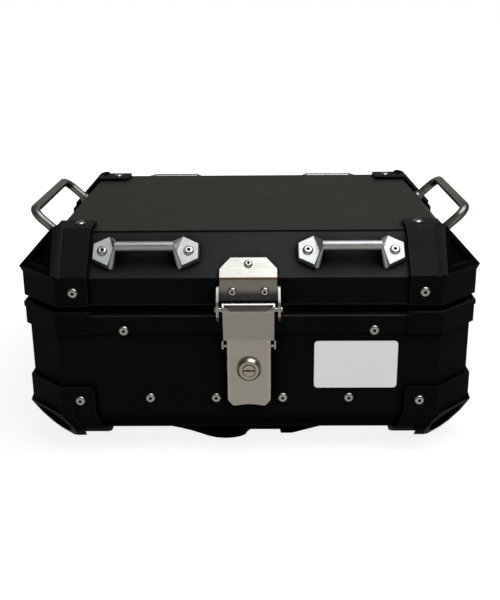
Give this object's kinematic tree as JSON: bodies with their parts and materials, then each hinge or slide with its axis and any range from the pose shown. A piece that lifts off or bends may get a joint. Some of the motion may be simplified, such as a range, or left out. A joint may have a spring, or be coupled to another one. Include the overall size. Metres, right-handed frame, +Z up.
{
  "type": "motorcycle top case",
  "caption": "Faceted black aluminium motorcycle top case with a rear-hinged lid, hasp latch with cam lock, corner guards, tie-down cleats and side handle bars.",
  "frame": {"origin": "middle of the mount plate's flat underside, which is what the case stands on", "axes": "+Z up, -Y towards the latch (the front face in the picture), +X to the right when facing the latch"},
  "size_m": [0.4704, 0.3998, 0.2406],
  "materials": {
    "black_sheet": "fine-textured black powder coat on aluminium sheet",
    "black_plastic": "moulded glass-filled nylon, fine grain",
    "seal_rubber": "matt",
    "satin_alloy": "satin silver anodised casting",
    "grey_bar": "satin grey anodised round bar",
    "latch_steel": "brushed stainless sheet",
    "lock_metal": "satin nickel",
    "label": "plain light grey label",
    "stainless_screws": "stainless button-head screws"
  },
  "bodies": {
    "base": {"base_wall": "black_sheet", "base_pan": "black_sheet", "base_rim": "black_plastic", "upper_guard_front_left": "black_plastic", "upper_guard_front_right": "black_plastic", "upper_guard_rear_left": "black_plastic", "upper_guard_rear_right": "black_plastic", "lower_guard_front_left": "black_plastic", "lower_guard_front_right": "black_plastic", "lower_guard_rear_left": "black_plastic", "lower_guard_rear_right": "black_plastic", "lower_fixing_front_left": "stainless_screws", "lower_fixing_front_right": "stainless_screws", "lower_fixing_rear_left": "stainless_screws", "lower_fixing_rear_right": "stainless_screws", "row_fixing_front": "stainless_screws", "row_fixing_rear": "stainless_screws", "band_fixing_front": "stainless_screws", "band_fixing_rear": "stainless_screws", "keeper_plate": "latch_steel", "mount_plate": "black_plastic", "mount_fixing": "stainless_screws", "label_plate": "label", "hinge_leaf_base_left": "latch_steel", "hinge_leaf_base_right": "latch_steel", "hinge_pin_left": "latch_steel", "hinge_pin_right": "latch_steel"},
    "lid": {"lid_shell": "black_sheet", "lid_seal": "seal_rubber", "lid_guard_front_left": "black_plastic", "lid_guard_front_right": "black_plastic", "lid_guard_rear_left": "black_plastic", "lid_guard_rear_right": "black_plastic", "lid_corner_fixing_front_left": "stainless_screws", "lid_corner_fixing_front_right": "stainless_screws", "lid_corner_fixing_rear_left": "stainless_screws", "lid_corner_fixing_rear_right": "stainless_screws", "cleat_front_left": "satin_alloy", "cleat_front_right": "satin_alloy", "cleat_rear_left": "satin_alloy", "cleat_rear_right": "satin_alloy", "cleat_fixing_front_left": "stainless_screws", "cleat_fixing_front_right": "stainless_screws", "cleat_fixing_rear_left": "stainless_screws", "cleat_fixing_rear_right": "stainless_screws", "side_handle_left": "grey_bar", "side_handle_right": "grey_bar", "handle_backing_left": "stainless_screws", "handle_backing_right": "stainless_screws", "latch_bracket": "latch_steel", "latch_fixing": "latch_steel", "latch_pin": "latch_steel", "hinge_leaf_lid_left": "latch_steel", "hinge_leaf_lid_right": "latch_steel"},
    "hasp": {"hasp_plate": "latch_steel", "lock_housing": "lock_metal"},
    "lock": {"lock_plug": "lock_metal", "lock_cam": "latch_steel"}
  },
  "joints": [
    {"name": "lid_hinge", "type": "hinge", "parent": "base", "child": "lid", "pos_m": [0, 0.194, 0.1593], "axis": [-1, 0, 0], "range_deg": [0, 95]},
    {"name": "hasp_hinge", "type": "hinge", "parent": "lid", "child": "hasp", "pos_m": [0, -0.196, 0.1605], "axis": [-1, 0, 0], "range_deg": [0, 110]},
    {"name": "lock_turn", "type": "hinge", "parent": "hasp", "child": "lock", "pos_m": [0, -0.19, 0.097], "axis": [0, 1, 0], "range_deg": [0, 90]}
  ]
}
